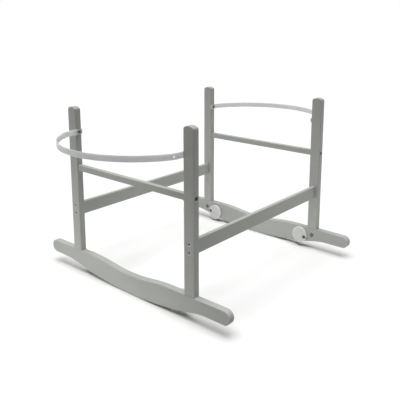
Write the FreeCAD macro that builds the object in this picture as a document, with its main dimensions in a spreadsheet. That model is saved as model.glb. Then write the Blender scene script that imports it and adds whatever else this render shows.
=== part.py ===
"""Rocking stand for a Moses basket: two rocker end frames, two side rails, two cross rails,
two bowed retaining strips and four eccentric floor stoppers, with all their fasteners.

Frame: +X along the stand from the left end frame to the right one, +Y from front to rear,
+Z up. The origin is on the floor, midway between the rockers' rolling faces. Millimetres.
"""
import FreeCAD, Part
import math
import os
import Sketcher
from FreeCAD import Placement, Rotation, Vector

# alias, value, meaning
SIZES = [
    ("frame_length", 552.0, "over the outer faces of the two end frames"),
    ("frame_width", 426.0, "over the outer narrow faces of the posts"),
    ("stand_height", 443.0, "floor to the crown of a post"),
    ("post_width", 30.0, "wide face of a post"),
    ("board_thick", 17.0, "posts and rockers are cut from the same board"),
    ("edge_round", 2.0, "round on the long edges of the timber"),
    ("crown_rise", 5.5, "height of the arc on top of a post, before its corners are rounded"),
    ("crown_round", 6.0, "round on the two corners of a post's top"),
    ("seat_height", 60.5, "floor to the rocker's top edge, where a post stands"),
    ("waist_height", 50.0, "floor to the rocker's top edge at mid span"),
    ("shoulder", 42.0, "straight top edge between a post and the dip"),
    ("tip_reach", 98.0, "rocker tip beyond the post"),
    ("tip_clearance", 27.0, "floor to the underside of a rocker tip"),
    ("blend_radius", 200.0, "hollow between the rolling face and the tip"),
    ("blend_offset", 34.0, "top of that hollow, beyond the post"),
    ("side_rail_thick", 11.0, "side rail across Y"),
    ("side_rail_depth", 34.5, "side rail along Z"),
    ("side_rail_height", 154.5, "floor to the underside of a side rail"),
    ("cross_rail_thick", 12.0, "cross rail across X"),
    ("cross_rail_depth", 16.0, "cross rail along Z"),
    ("cross_rail_drop", 149.5, "post tops down to the top of a cross rail"),
    ("side_screw_pitch", 20.0, "between the two screws of a side rail end"),
    ("side_screw_shank", 5.0, "countersunk connecting screw"),
    ("side_screw_length", 50.0, "whole length"),
    ("side_screw_head", 11.0, "head diameter, a 90 degree countersink"),
    ("side_screw_socket", 4.0, "hexagon socket across its flats, and its depth"),
    ("cross_screw_shank", 5.0, "cylinder head screw"),
    ("cross_screw_length", 56.0, "under the head"),
    ("cross_screw_head", 9.0, "head diameter"),
    ("cross_screw_cap", 4.5, "head height"),
    ("cross_bore_width", 10.0, "counterbore in the outer narrow face"),
    ("cross_bore_depth", 9.0, "counterbore depth"),
    ("strip_drop", 64.0, "post tops down to the middle of a retaining strip"),
    ("strip_depth", 14.0, "strip along Z"),
    ("strip_thick", 2.0, "strip wall"),
    ("tab_round", 4.0, "round on the corners of a strip's ends"),
    ("strip_gap", 0.3, "play between strip, post and screw head"),
    ("strip_bow", 142.5, "middle of the strip beyond the end frame"),
    ("strip_lead", 9.0, "straight run of the strip beyond the end frame"),
    ("strip_corner", 60.0, "radius where the strip leaves its straight run"),
    ("strip_tab", 10.0, "strip end beyond its screw"),
    ("strip_hole_pitch", 33.0, "from the pivot hole to the spare hole"),
    ("spare_hole", 4.5, "diameter of the spare hole, in a strip's front end only"),
    ("strip_screw_shank", 4.0, "pan head screw"),
    ("strip_screw_length", 18.0, "under the head"),
    ("strip_screw_head", 8.0, "head diameter"),
    ("strip_screw_cap", 2.6, "head height"),
    ("pivot_play", 0.1, "pivot hole diameter over its shank"),
    ("stopper_width", 47.5, "disc diameter"),
    ("stopper_thick", 8.0, "disc along X"),
    ("stopper_throw", 16.5, "disc centre to its bolt"),
    ("stopper_axis_height", 31.0, "floor to the bolt"),
    ("stopper_inset", 21.0, "bolt inward of the post's centre line"),
    ("stopper_gap", 0.3, "play between disc and rocker"),
    ("stopper_round", 1.5, "round on the disc's rims"),
    ("recess_width", 11.0, "bolt head recess in the disc"),
    ("recess_floor", 3.0, "disc left under the recess"),
    ("stopper_shank", 5.0, "bolt diameter"),
    ("stopper_bolt_head", 8.5, "head diameter"),
    ("stopper_bolt_cap", 3.0, "head height"),
    ("stopper_bolt_length", 14.0, "under the head"),
    ("washer_width", 10.0, "washer under the bolt head"),
    ("washer_thick", 1.0, "washer"),
    ("washer_play", 0.2, "play between washer and recess floor"),
    ("insert_width", 9.0, "threaded insert, outside"),
    ("insert_length", 12.0, "threaded insert"),
    ("cam_width", 12.0, "cam lock diameter"),
    ("cam_length", 11.5, "cam lock along X"),
    ("cam_ring", 0.6, "gap round the cam lock"),
    ("cam_drop", 20.0, "cam lock centre below the seat"),
    ("driver_slot", 1.4, "width and depth of the driver slots"),
    ("pin_play", 0.4, "pin bore and cam slot over the pin"),
    ("pin_width", 6.0, "cam pin"),
    ("pin_thread", 5.0, "cam pin's thread in the post"),
    ("pin_thread_length", 24.0, "thread in the post"),
    ("dowel_width", 6.0, "wooden dowel"),
    ("dowel_depth", 15.0, "dowel in each timber"),
    ("dowel_offset", 9.0, "dowel from the post's centre line"),
]

# Disc centre above its bolt's level, seen from the bolt towards mid span, in degrees.
STOPPER_REST = {
    ("right", "rear"): -7.5,
    ("right", "front"): 13.0,
    ("left", "rear"): 6.0,
    ("left", "front"): 10.0,
}
ENDS = {"left": -1, "right": 1}
SIDES = {"front": -1, "rear": 1}
CORNERS = [(end, side) for end in ENDS for side in SIDES]

# Expressions shared by several pieces, all in the sheet's own names.
POST_X = "(sizes.frame_length - sizes.board_thick) / 2"
POST_Y = "(sizes.frame_width - sizes.post_width) / 2"
INNER_X = "(sizes.frame_length / 2 - sizes.board_thick)"
INNER_Y = "(sizes.frame_width / 2 - sizes.post_width)"
STOPPER_Y = f"({POST_Y} - sizes.stopper_inset)"
STRIP_Y = f"({INNER_Y} - sizes.strip_gap - sizes.strip_thick / 2)"
SIDE_RAIL_Z = "(sizes.side_rail_height + sizes.side_rail_depth / 2)"
CROSS_RAIL_Z = "(sizes.stand_height - sizes.cross_rail_drop - sizes.cross_rail_depth / 2)"
STRIP_Z = "(sizes.stand_height - sizes.strip_drop)"
PIVOT_HOLE = "(sizes.strip_screw_shank + sizes.pivot_play) / 2"

doc = FreeCAD.newDocument("rocking_stand")


def make_sheet():
    """The driving dimensions, one row each: name, value, meaning."""
    sheet = doc.addObject("Spreadsheet::Sheet", "sizes")
    for row, (alias, value, meaning) in enumerate(SIZES, start=1):
        sheet.set(f"A{row}", alias)
        sheet.set(f"B{row}", str(value))
        sheet.setAlias(f"B{row}", alias)
        sheet.set(f"C{row}", meaning)
    doc.recompute()
    return {alias: getattr(sheet, alias) for alias, _, _ in SIZES}


size = make_sheet()


def place(piece, x="0", y="0", z="0", turn=None):
    """Binds a piece's place to the sheet; turn is its fixed rotation."""
    if turn is not None:
        piece.Placement = Placement(Vector(0, 0, 0), turn)
    for axis, text in (("x", x), ("y", y), ("z", z)):
        piece.setExpression(f"Placement.Base.{axis}", text)
    return piece


# --- PartDesign helpers ---------------------------------------------------------------

def make_body(label):
    body = doc.addObject("PartDesign::Body", label)
    body.Label = label
    return body


def make_sketch(body, name, plane, offset=None, axis="z"):
    """A sketch on one of the body's own origin planes, moved along its normal by offset."""
    sketch = body.newObject("Sketcher::SketchObject", f"{body.Name}_{name}")
    origin = next(o for o in body.Origin.OriginFeatures if o.Role == plane)
    sketch.AttachmentSupport = [(origin, "")]
    sketch.MapMode = "FlatFace"
    if offset:
        sketch.setExpression(f"AttachmentOffset.Base.{axis}", offset)
    return sketch


def dimension(sketch, constraint, text):
    """Adds a dimension and binds it to the sheet."""
    index = sketch.addConstraint(constraint)
    sketch.setExpression(f"Constraints[{index}]", text)
    return index


def centred_box(sketch, width, height):
    """A rectangle about the sketch's origin; width and height are expressions."""
    x, y = 10.0, 10.0
    corners = [Vector(-x, -y), Vector(x, -y), Vector(x, y), Vector(-x, y)]
    for i in range(4):
        sketch.addGeometry(Part.LineSegment(corners[i], corners[(i + 1) % 4]))
    for i in range(4):
        sketch.addConstraint(Sketcher.Constraint("Coincident", i, 2, (i + 1) % 4, 1))
    for i, kind in enumerate(("Horizontal", "Vertical", "Horizontal", "Vertical")):
        sketch.addConstraint(Sketcher.Constraint(kind, i))
    sketch.addConstraint(Sketcher.Constraint("Symmetric", 0, 1, 1, 2, -1, 1))
    dimension(sketch, Sketcher.Constraint("DistanceX", 0, 1, 0, 2, 2 * x), width)
    dimension(sketch, Sketcher.Constraint("DistanceY", 1, 1, 1, 2, 2 * y), height)


def circle_at(sketch, radius, x="0", y="0"):
    """A circle whose radius and centre are expressions; sketch sides are set by sign in them."""
    index = sketch.addGeometry(Part.Circle(Vector(1, 1, 0), Vector(0, 0, 1), 1.0))
    dimension(sketch, Sketcher.Constraint("Radius", index, 1.0), radius)
    for kind, text in (("DistanceX", x), ("DistanceY", y)):
        if text == "0":
            axis = -2 if kind == "DistanceX" else -1
            sketch.addConstraint(Sketcher.Constraint("PointOnObject", index, 3, axis))
        else:
            dimension(sketch, Sketcher.Constraint(kind, -1, 1, index, 3, 1.0), text)


def pad(body, sketch, length, midplane=True):
    feature = body.newObject("PartDesign::Pad", f"{sketch.Name}_pad")
    feature.Profile = sketch
    feature.Midplane = midplane
    feature.setExpression("Length", length)
    doc.recompute()
    return feature


def pocket(body, sketch, length=None, reverse=False):
    """Cuts a sketch to a depth, or right through both ways when no depth is given."""
    before = body.Tip.Shape.Volume
    feature = body.newObject("PartDesign::Pocket", f"{sketch.Name}_cut")
    feature.Profile = sketch
    if length is None:
        feature.Type = "ThroughAll"
        feature.Midplane = True
    else:
        feature.Reversed = reverse
        feature.setExpression("Length", length)
    doc.recompute()
    if feature.Shape.Volume >= before:
        raise RuntimeError(f"{feature.Name} cuts nothing")
    return feature


def fillet(body, base, edges, radius):
    feature = body.newObject("PartDesign::Fillet", f"{base.Name}_round")
    feature.Base = (base, edges)
    feature.setExpression("Radius", radius)
    doc.recompute()
    return feature


def edges_where(feature, test):
    """Names of the feature's edges that pass a test on the edge."""
    return [f"Edge{i}" for i, e in enumerate(feature.Shape.Edges, 1) if test(e)]


def is_curve(edge, kind):
    """True when the edge lies on that kind of curve; an edge shrunk to a point has none."""
    return not edge.Degenerated and edge.Curve.TypeId == f"Part::Geom{kind}"


def runs_along(edge, axis):
    """True for a straight edge parallel to a unit axis."""
    if not is_curve(edge, "Line"):
        return False
    return abs(abs(edge.Curve.Direction.dot(axis)) - 1) < 1e-6


def is_circle_at(edge, axis, where, radius):
    """True for a circle of that radius, centred at that place on an axis."""
    if not is_curve(edge, "Circle"):
        return False
    centred = abs(getattr(edge.Curve.Center, axis) - where) < 1e-4
    return centred and abs(edge.Curve.Radius - radius) < 1e-4


# --- Timber ---------------------------------------------------------------------------

def make_post(end, side):
    """A post, upright on the seat; its place is the middle of its foot."""
    out_x, out_y = ENDS[end], SIDES[side]
    body = make_body(f"post_{end}_{side}")
    outline = make_sketch(body, "outline", "YZ_Plane")
    half, shoulder = size["post_width"] / 2, size["stand_height"] - size["seat_height"]
    radius = (half ** 2 + size["crown_rise"] ** 2) / (2 * size["crown_rise"])
    sweep = math.asin(half / radius)
    crown = Part.Circle(Vector(0, shoulder - radius), Vector(0, 0, 1), radius)
    left, right = Vector(-half, 0), Vector(half, 0)
    top_left, top_right = (Vector(y, shoulder - size["crown_rise"]) for y in (-half, half))
    outline.addGeometry(Part.LineSegment(left, right))
    outline.addGeometry(Part.LineSegment(right, top_right))
    outline.addGeometry(Part.ArcOfCircle(crown, math.pi / 2 - sweep, math.pi / 2 + sweep))
    outline.addGeometry(Part.LineSegment(top_left, left))
    for first, second in ((0, 1), (1, 2), (2, 3), (3, 0)):
        outline.addConstraint(Sketcher.Constraint("Coincident", first, 2, second, 1))
    outline.addConstraint(Sketcher.Constraint("Horizontal", 0))
    outline.addConstraint(Sketcher.Constraint("Vertical", 1))
    outline.addConstraint(Sketcher.Constraint("Vertical", 3))
    outline.addConstraint(Sketcher.Constraint("Symmetric", 0, 1, 0, 2, -1, 1))
    outline.addConstraint(Sketcher.Constraint("PointOnObject", 2, 3, -2))
    rise = "sizes.crown_rise"
    crown_radius = f"((sizes.post_width / 2)^2 + {rise}^2) / (2 * {rise})"
    dimension(outline, Sketcher.Constraint("DistanceX", 0, 1, 0, 2, 2 * half), "sizes.post_width")
    dimension(outline, Sketcher.Constraint("Radius", 2, radius), crown_radius)
    side_length = f"sizes.stand_height - sizes.seat_height - {rise}"
    dimension(outline, Sketcher.Constraint("DistanceY", 1, 1, 1, 2, 1.0), side_length)
    stock = pad(body, outline, "sizes.board_thick")
    corners = edges_where(stock, lambda e: runs_along(e, Vector(1, 0, 0)) and e.BoundBox.ZMin > 1)
    rounded = fillet(body, stock, corners, "sizes.crown_round")
    above_foot = edges_where(rounded, lambda e: e.BoundBox.XLength < 0.01 and e.BoundBox.ZMax > 1)
    fillet(body, rounded, above_foot, "sizes.edge_round")

    rail_z = f"({SIDE_RAIL_Z} - sizes.seat_height)"
    screws = make_sketch(body, "side_screws", "YZ_Plane")
    for sign in "+-":
        at = f"{rail_z} {sign} sizes.side_screw_pitch / 2"
        circle_at(screws, "sizes.side_screw_shank / 2", y=at)
    through = pocket(body, screws)
    face_x = out_x * size["board_thick"] / 2
    hole_radius = size["side_screw_shank"] / 2
    rims = edges_where(through, lambda e: is_circle_at(e, "x", face_x, hole_radius))
    sink = body.newObject("PartDesign::Chamfer", f"{body.Name}_sink")
    sink.Base = (through, rims)
    sink.setExpression("Size", "(sizes.side_screw_head - sizes.side_screw_shank) / 2")
    doc.recompute()

    cross_z = f"{CROSS_RAIL_Z} - sizes.seat_height"
    cross = make_sketch(body, "cross_screw", "XZ_Plane")
    circle_at(cross, "sizes.cross_screw_shank / 2", y=cross_z)
    pocket(body, cross)
    outer = f"{-out_y} * sizes.post_width / 2"
    bore = make_sketch(body, "counterbore", "XZ_Plane", outer)
    circle_at(bore, "sizes.cross_bore_width / 2", y=cross_z)
    pocket(body, bore, "sizes.cross_bore_depth", reverse=out_y > 0)
    inner = f"{out_y} * sizes.post_width / 2"
    pilot = make_sketch(body, "strip_pilot", "XZ_Plane", inner)
    circle_at(pilot, "sizes.strip_screw_shank / 2", y=f"{STRIP_Z} - sizes.seat_height")
    grip = "sizes.strip_screw_length - sizes.strip_thick - 2 * sizes.strip_gap"
    pocket(body, pilot, grip, reverse=out_y < 0)

    thread = make_sketch(body, "pin_thread", "XY_Plane")
    circle_at(thread, "sizes.pin_thread / 2")
    pocket(body, thread, "sizes.pin_thread_length", reverse=True)
    dowels = make_sketch(body, "dowels", "XY_Plane")
    for sign in ("", "-"):
        circle_at(dowels, "sizes.dowel_width / 2", y=f"{sign}sizes.dowel_offset")
    pocket(body, dowels, "sizes.dowel_depth", reverse=True)
    place(body, f"{out_x} * {POST_X}", f"{out_y} * {POST_Y}", "sizes.seat_height")


def make_rocker(end):
    """A rocker on the floor, mid thickness at its place; its inner face looks along local +X.

    The half outline is tangent throughout: a rolling arc from mid span, a hollow that meets
    the level underside of the tip, the round tip, the level top edge and two equal arcs down
    to the waist. The rolling radius follows from where the hollow tops out.
    """
    body = make_body(f"rocker_{end}")
    outline = make_sketch(body, "outline", "YZ_Plane")
    seat, waist, low = size["seat_height"], size["waist_height"], size["tip_clearance"]
    blend = size["blend_radius"]
    top_out = size["frame_width"] / 2 + size["blend_offset"]
    roll = (top_out ** 2 / low + low) / 2 - blend
    turn = math.asin(top_out / (roll + blend))
    tip = (seat - low) / 2
    tip_y = size["frame_width"] / 2 + size["tip_reach"] - tip
    dip = size["frame_width"] / 2 - size["post_width"] - size["shoulder"]
    fall = (dip ** 2 + (seat - waist) ** 2) / (4 * (seat - waist))
    bend = math.asin(dip / 2 / fall)
    up, normal = math.pi / 2, Vector(0, 0, 1)
    circles = [
        (Part.Circle(Vector(0, roll), normal, roll), -up, -up + turn),
        (Part.Circle(Vector(top_out, low - blend), normal, blend), up, up + turn),
        (Part.Circle(Vector(tip_y, low + tip), normal, tip), -up, up),
        (Part.Circle(Vector(dip, seat - fall), normal, fall), up, up + bend),
        (Part.Circle(Vector(0, waist + fall), normal, fall), -up, -up + bend),
    ]
    for circle in circles:
        outline.addGeometry(Part.ArcOfCircle(*circle))
    outline.addGeometry(Part.LineSegment(Vector(top_out, low), Vector(tip_y, low)))
    outline.addGeometry(Part.LineSegment(Vector(tip_y, seat), Vector(dip, seat)))
    outline.addGeometry(Part.LineSegment(Vector(0, waist), Vector(0, 0)))
    rolling, hollow, nose, brow, sag, under, top, middle = range(8)
    for first, end_a, second, end_b in (
        (rolling, 2, hollow, 2), (hollow, 1, under, 1), (under, 2, nose, 1),
        (nose, 2, top, 1), (top, 2, brow, 1), (brow, 2, sag, 2),
    ):
        outline.addConstraint(Sketcher.Constraint("Tangent", first, end_a, second, end_b))
    outline.addConstraint(Sketcher.Constraint("Coincident", sag, 1, middle, 1))
    outline.addConstraint(Sketcher.Constraint("Coincident", middle, 2, rolling, 1))
    outline.addConstraint(Sketcher.Constraint("Coincident", rolling, 1, -1, 1))
    outline.addConstraint(Sketcher.Constraint("PointOnObject", rolling, 3, -2))
    outline.addConstraint(Sketcher.Constraint("PointOnObject", sag, 3, -2))
    outline.addConstraint(Sketcher.Constraint("Vertical", middle))
    outline.addConstraint(Sketcher.Constraint("Horizontal", under))
    outline.addConstraint(Sketcher.Constraint("Horizontal", top))
    outline.addConstraint(Sketcher.Constraint("Equal", brow, sag))
    half = "sizes.frame_width / 2"
    tip_radius = "(sizes.seat_height - sizes.tip_clearance) / 2"
    for kind, item, point, value, text in (
        ("DistanceX", hollow, 1, top_out, f"{half} + sizes.blend_offset"),
        ("DistanceY", hollow, 1, low, "sizes.tip_clearance"),
        ("DistanceX", nose, 3, tip_y, f"{half} + sizes.tip_reach - {tip_radius}"),
        ("DistanceY", top, 1, seat, "sizes.seat_height"),
        ("DistanceX", brow, 1, dip, f"{half} - sizes.post_width - sizes.shoulder"),
        ("DistanceY", sag, 1, waist, "sizes.waist_height"),
    ):
        dimension(outline, Sketcher.Constraint(kind, -1, 1, item, point, value), text)
    dimension(outline, Sketcher.Constraint("Radius", hollow, blend), "sizes.blend_radius")
    stock = pad(body, outline, "sizes.board_thick")
    other_half = body.newObject("PartDesign::Mirrored", f"{body.Name}_other_half")
    other_half.Originals = [stock]
    plane = next(o for o in body.Origin.OriginFeatures if o.Role == "XZ_Plane")
    other_half.MirrorPlane = (plane, [""])
    body.Tip = other_half
    doc.recompute()
    face = size["board_thick"] / 2
    rims = edges_where(other_half, lambda e: abs(abs(e.CenterOfMass.x) - face) < 1e-4)
    fillet(body, other_half, rims, "sizes.edge_round")

    inner_face = "sizes.board_thick / 2"
    cams = make_sketch(body, "cam_bores", "YZ_Plane", inner_face)
    inserts = make_sketch(body, "insert_bores", "YZ_Plane", inner_face)
    pins = make_sketch(body, "pin_bores", "XY_Plane", "sizes.seat_height")
    dowels = make_sketch(body, "dowel_bores", "XY_Plane", "sizes.seat_height")
    for sign in ("", "-"):
        cam_z = "sizes.seat_height - sizes.cam_drop"
        circle_at(cams, "sizes.cam_width / 2 + sizes.cam_ring", f"{sign}{POST_Y}", cam_z)
        stopper = (f"{sign}{STOPPER_Y}", "sizes.stopper_axis_height")
        circle_at(inserts, "sizes.insert_width / 2", *stopper)
        circle_at(pins, "(sizes.pin_width + sizes.pin_play) / 2", y=f"{sign}{POST_Y}")
        for way in "+-":
            at = f"{sign}({POST_Y} {way} sizes.dowel_offset)"
            circle_at(dowels, "sizes.dowel_width / 2", y=at)
    pocket(body, cams, "sizes.cam_length")
    pocket(body, inserts, "sizes.insert_length")
    pocket(body, pins, "sizes.cam_drop")
    pocket(body, dowels, "sizes.dowel_depth")
    turn = Rotation(Vector(0, 0, 1), 180 if end == "right" else 0)
    place(body, f"{ENDS[end]} * {POST_X}", turn=turn)


def make_rail(label, plane, section, length, pilots):
    """A straight rail centred on its place, square in section, with screw pilots in its ends.

    section is (width, height), pilots is (radius, depth, [heights]), all expressions.
    """
    body = make_body(label)
    profile = make_sketch(body, "section", plane)
    centred_box(profile, *section)
    stock = pad(body, profile, length)
    along = Vector(1, 0, 0) if plane == "YZ_Plane" else Vector(0, 1, 0)
    fillet(body, stock, edges_where(stock, lambda e: runs_along(e, along)), "sizes.edge_round")
    radius, depth, heights = pilots
    for sign, name in ((1, "pilots_a"), (-1, "pilots_b")):
        holes = make_sketch(body, name, plane, f"{sign} * {length} / 2")
        for height in heights:
            circle_at(holes, radius, y=height)
        pocket(body, holes, depth, reverse=sign < 0)
    return body


def make_rails():
    """Two side rails along X between the posts' wide faces, two cross rails along Y."""
    half_pitch = "sizes.side_screw_pitch / 2"
    for side, sign in SIDES.items():
        rail = make_rail(
            f"side_rail_{side}", "YZ_Plane", ("sizes.side_rail_thick", "sizes.side_rail_depth"),
            "(sizes.frame_length - 2 * sizes.board_thick)",
            ("sizes.side_screw_shank / 2", "sizes.side_screw_length - sizes.board_thick",
             [half_pitch, f"-{half_pitch}"]),
        )
        place(rail, y=f"{sign} * {POST_Y}", z=SIDE_RAIL_Z)
    grip = "sizes.cross_screw_length - sizes.post_width + sizes.cross_bore_depth"
    for end, sign in ENDS.items():
        rail = make_rail(
            f"cross_rail_{end}", "XZ_Plane",
            ("sizes.cross_rail_thick", "sizes.cross_rail_depth"),
            "(sizes.frame_width - 2 * sizes.post_width)",
            ("sizes.cross_screw_shank / 2", grip, ["0"]),
        )
        place(rail, f"{sign} * {POST_X}", z=CROSS_RAIL_Z)


# --- Plastic --------------------------------------------------------------------------

def make_strip(end):
    """A flat strip on edge: a straight end on the post, a corner and one long bow.

    Modelled for the right end, where it bows along +X. The bow's radius follows from how
    far it stands out.
    """
    body = make_body(f"retaining_strip_{end}")
    spine = make_sketch(body, "bow", "XY_Plane")
    b = size["frame_width"] / 2 - size["post_width"] - size["strip_gap"] - size["strip_thick"] / 2
    corner, reach = size["strip_corner"], size["strip_bow"] - size["strip_lead"]
    bow = (reach ** 2 + (b - corner) ** 2 - corner ** 2) / (2 * (reach - corner))
    begin = (size["frame_length"] - size["board_thick"]) / 2 - size["strip_tab"]
    bend = size["frame_length"] / 2 + size["strip_lead"]
    middle = bend + reach - bow
    meet = math.atan2(corner - b, bend - middle)
    normal = Vector(0, 0, 1)
    spine.addGeometry(Part.LineSegment(Vector(begin, -b), Vector(bend, -b)))
    for centre, radius, start, stop in (
        (Vector(bend, corner - b), corner, -math.pi / 2, meet),
        (Vector(middle, 0), bow, meet, 0),
    ):
        spine.addGeometry(Part.ArcOfCircle(Part.Circle(centre, normal, radius), start, stop))
    spine.addConstraint(Sketcher.Constraint("Horizontal", 0))
    spine.addConstraint(Sketcher.Constraint("Tangent", 0, 2, 1, 1))
    spine.addConstraint(Sketcher.Constraint("Tangent", 1, 2, 2, 1))
    spine.addConstraint(Sketcher.Constraint("PointOnObject", 2, 3, -1))
    spine.addConstraint(Sketcher.Constraint("PointOnObject", 2, 2, -1))
    inset = f"({STRIP_Y} - sizes.strip_corner)"
    run = "(sizes.strip_bow - sizes.strip_lead)"
    bow_radius = (
        f"({run}^2 + {inset}^2 - sizes.strip_corner^2) / (2 * ({run} - sizes.strip_corner))"
    )
    for constraint, text in (
        (Sketcher.Constraint("DistanceX", -1, 1, 0, 1, begin), f"{POST_X} - sizes.strip_tab"),
        (Sketcher.Constraint("DistanceY", -1, 1, 0, 1, -b), f"-{STRIP_Y}"),
        (Sketcher.Constraint("DistanceX", -1, 1, 0, 2, bend),
         "sizes.frame_length / 2 + sizes.strip_lead"),
        (Sketcher.Constraint("Radius", 1, corner), "sizes.strip_corner"),
        (Sketcher.Constraint("Radius", 2, bow), bow_radius),
    ):
        dimension(spine, constraint, text)
    profile = make_sketch(body, "section", "YZ_Plane", f"{POST_X} - sizes.strip_tab")
    profile.setExpression("AttachmentOffset.Base.x", f"-{STRIP_Y}")
    centred_box(profile, "sizes.strip_thick", "sizes.strip_depth")
    doc.recompute()
    half = body.newObject("PartDesign::AdditivePipe", f"{body.Name}_half")
    half.Profile = profile
    half.Spine = (spine, ["Edge1", "Edge2", "Edge3"])
    doc.recompute()
    whole = body.newObject("PartDesign::Mirrored", f"{body.Name}_whole")
    whole.Originals = [half]
    plane = next(o for o in body.Origin.OriginFeatures if o.Role == "XZ_Plane")
    whole.MirrorPlane = (plane, [""])
    body.Tip = whole
    doc.recompute()
    corners = edges_where(
        whole, lambda e: runs_along(e, Vector(0, 1, 0)) and abs(e.CenterOfMass.x - begin) < 1e-4
    )
    fillet(body, whole, corners, "sizes.tab_round")
    holes = make_sketch(body, "holes", "XZ_Plane")
    circle_at(holes, PIVOT_HOLE, x=POST_X)
    pocket(body, holes)
    spare = make_sketch(body, "spare", "XZ_Plane")
    circle_at(spare, "sizes.spare_hole / 2", x=f"{POST_X} + sizes.strip_hole_pitch")
    pocket(body, spare, "sizes.frame_width / 2", reverse=end == "right")
    turn = Rotation(Vector(0, 0, 1), 180 if end == "left" else 0)
    place(body, z=STRIP_Z, turn=turn)


def make_stopper(end, side):
    """An eccentric disc; its place is its bolt, on the rocker's inner face.

    Modelled with its back at x = 0, its recess open along +X and its centre along +Y.
    """
    body = make_body(f"stopper_{end}_{side}")
    disc = make_sketch(body, "disc", "YZ_Plane")
    circle_at(disc, "sizes.stopper_width / 2", x="sizes.stopper_throw")
    stock = pad(body, disc, "sizes.stopper_thick", midplane=False)
    rims = edges_where(stock, lambda e: is_curve(e, "Circle"))
    fillet(body, stock, rims, "sizes.stopper_round")
    recess = make_sketch(body, "recess", "YZ_Plane", "sizes.stopper_thick")
    circle_at(recess, "sizes.recess_width / 2")
    pocket(body, recess, "sizes.stopper_thick - sizes.recess_floor")
    pivot = make_sketch(body, "pivot", "YZ_Plane")
    circle_at(pivot, "(sizes.stopper_shank + sizes.pivot_play) / 2")
    pocket(body, pivot)
    facing = Rotation(Vector(0, 0, 1), 180 if end == "right" else 0)
    if (end, side) in (("left", "rear"), ("right", "front")):
        facing = Rotation(Vector(1, 0, 0), 180) * facing
    lift = Rotation(Vector(1, 0, 0), -SIDES[side] * STOPPER_REST[end, side])
    back = f"{ENDS[end]} * ({INNER_X} - sizes.stopper_gap)"
    place(body, back, f"{SIDES[side]} * {STOPPER_Y}", "sizes.stopper_axis_height", lift * facing)


# --- Fasteners ------------------------------------------------------------------------
# Each kind is modelled once along +Z, with its seating face at z = 0, and linked to every
# place that holds one.

def solid(kind, name, z="0", **sizes):
    """A Part primitive on the Z axis, its properties bound to expressions."""
    item = doc.addObject(f"Part::{kind}", name)
    for key, text in sizes.items():
        item.setExpression(key, text)
    item.setExpression("Placement.Base.z", z)
    return item


def slab(name, width, breadth, height, z):
    """A box centred on the Z axis."""
    item = solid("Box", name, z, Length=width, Width=breadth, Height=height)
    item.setExpression("Placement.Base.x", f"-({width}) / 2")
    item.setExpression("Placement.Base.y", f"-({breadth}) / 2")
    return item


def fuse(name, pieces):
    item = doc.addObject("Part::MultiFuse", name)
    item.Shapes = pieces
    return item


def cut(name, base, tool):
    item = doc.addObject("Part::Cut", name)
    item.Base = base
    item.Tool = tool
    return item


def cross_slots(name, across, z):
    """Two crossed driver slots, as one tool."""
    slot = "sizes.driver_slot"
    first = slab(f"{name}_a", across, slot, slot, z)
    second = slab(f"{name}_b", slot, across, slot, z)
    return fuse(name, [first, second])


def make_group(label, master, places):
    """Links the master to each place and gathers the copies in one node.

    places holds (direction of the head, x, y, z), the last three as expressions.
    """
    copies = []
    for number, (direction, x, y, z) in enumerate(places, start=1):
        copy = doc.addObject("App::Link", f"{label}_{number}")
        copy.LinkedObject = master
        copy.LinkTransform = True
        copies.append(place(copy, x, y, z, Rotation(Vector(0, 0, 1), Vector(*direction))))
    group = doc.addObject("Part::Compound", label)
    group.Label = label
    group.Links = copies


def make_rail_screws():
    radius, head = "sizes.side_screw_shank / 2", "sizes.side_screw_head / 2"
    sink = f"({head} - {radius})"
    shank = solid("Cylinder", "side_shank", "-sizes.side_screw_length",
                  Radius=radius, Height="sizes.side_screw_length")
    cone = solid("Cone", "side_head", f"-{sink}", Radius1=radius, Radius2=head, Height=sink)
    socket = solid("Prism", "side_socket", "-sizes.side_screw_socket / 2",
                   Circumradius="sizes.side_screw_socket / sqrt(3)",
                   Height="sizes.side_screw_socket")
    screw = cut("side_screw", fuse("side_blank", [shank, cone]), socket)
    places = [
        ((ENDS[e], 0, 0), f"{ENDS[e]} * sizes.frame_length / 2", f"{SIDES[s]} * {POST_Y}",
         f"{SIDE_RAIL_Z} {way} sizes.side_screw_pitch / 2")
        for e, s in CORNERS for way in "+-"
    ]
    make_group("side_rail_screws", screw, places)


def make_headed_screw(name, shank, length, head, cap):
    """A cylinder head with driver slots on a plain shank."""
    body = solid("Cylinder", f"{name}_shank", f"-{length}", Radius=f"{shank} / 2", Height=length)
    top = solid("Cylinder", f"{name}_head", Radius=f"{head} / 2", Height=cap)
    slots = cross_slots(f"{name}_slots", f"{head} * 0.7", f"{cap} - sizes.driver_slot")
    return cut(name, fuse(f"{name}_blank", [body, top]), slots)


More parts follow.
